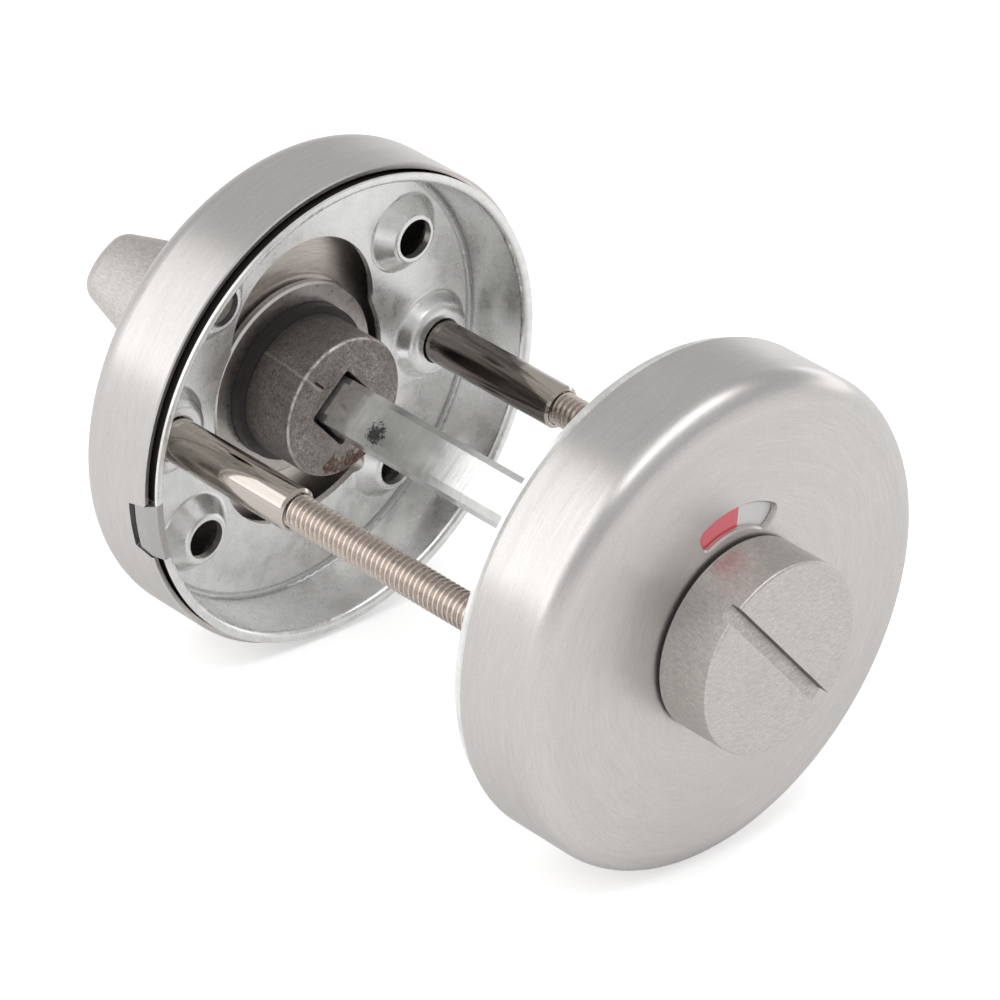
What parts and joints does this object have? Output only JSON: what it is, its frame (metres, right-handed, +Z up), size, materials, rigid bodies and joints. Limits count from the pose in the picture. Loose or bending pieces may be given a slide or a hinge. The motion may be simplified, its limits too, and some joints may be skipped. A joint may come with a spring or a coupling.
{
  "type": "bathroom thumb turn lock",
  "caption": "Bathroom turn and release set on round roses: thumb turn inside, coin release with red and white indicator outside, joined by bolts and a square spindle.",
  "frame": {"origin": "on the spindle's centre line, in the plane where the inside rose sits on the door", "axes": "+Y out of the door on the inside, along the spindle towards the thumb turn; -Y towards the outside; X through the two through bolts; +Z up"},
  "size_m": [0.055, 0.0987, 0.055],
  "materials": {
    "cover_steel": "satin stainless steel, fine brushing",
    "turn_steel": "satin stainless steel, fine brushing",
    "release_steel": "satin stainless steel, fine brushing",
    "plate_zinc": "bright zinc plated pressed steel",
    "spindle_zinc": "bright zinc plated bar",
    "ring_steel": "dull spring steel",
    "washer_steel": "spring steel",
    "hub_cast": "rough grey casting",
    "sleeve_steel": "dark polished steel",
    "bolt_steel": "turned steel thread",
    "screw_steel": "zinc plated steel",
    "black_nylon": "black nylon",
    "indicator_white": "white plastic",
    "indicator_red": "coral red plastic"
  },
  "bodies": {
    "inside_rose": {"inside_cover": "cover_steel", "inside_plate": "plate_zinc", "turn_bush": "black_nylon", "turn_snap_ring": "ring_steel", "turn_spring_washer": "washer_steel", "sleeve_nuts": "sleeve_steel"},
    "thumb_turn": {"thumb_turn": "turn_steel", "turn_hub": "hub_cast", "turn_hub_screw": "screw_steel"},
    "outside_rose": {"outside_cover": "cover_steel", "outside_plate": "plate_zinc", "release_bush": "black_nylon", "release_snap_ring": "ring_steel", "through_screws": "bolt_steel"},
    "release": {"release_knob": "release_steel", "release_hub": "hub_cast", "release_hub_screw": "screw_steel", "indicator_disc": "indicator_white", "red_field": "indicator_red", "spindle": "spindle_zinc", "spindle_pin": "screw_steel"}
  },
  "joints": [
    {"name": "turn_hinge", "type": "hinge", "parent": "inside_rose", "child": "thumb_turn", "pos_m": [0, 0.01, 0], "axis": [0, 1, 0], "range_deg": [-45, 45]},
    {"name": "door_adjustment", "type": "slide", "parent": "inside_rose", "child": "outside_rose", "axis": [0, 1, 0], "range_m": [-0.005, 0.005]},
    {"name": "release_hinge", "type": "hinge", "parent": "outside_rose", "child": "release", "pos_m": [0, -0.0545, 0], "axis": [0, 1, 0], "range_deg": [-45, 45]}
  ],
  "couplings": [
    {"joint": "release_hinge", "follows": "turn_hinge", "ratio": 1}
  ]
}
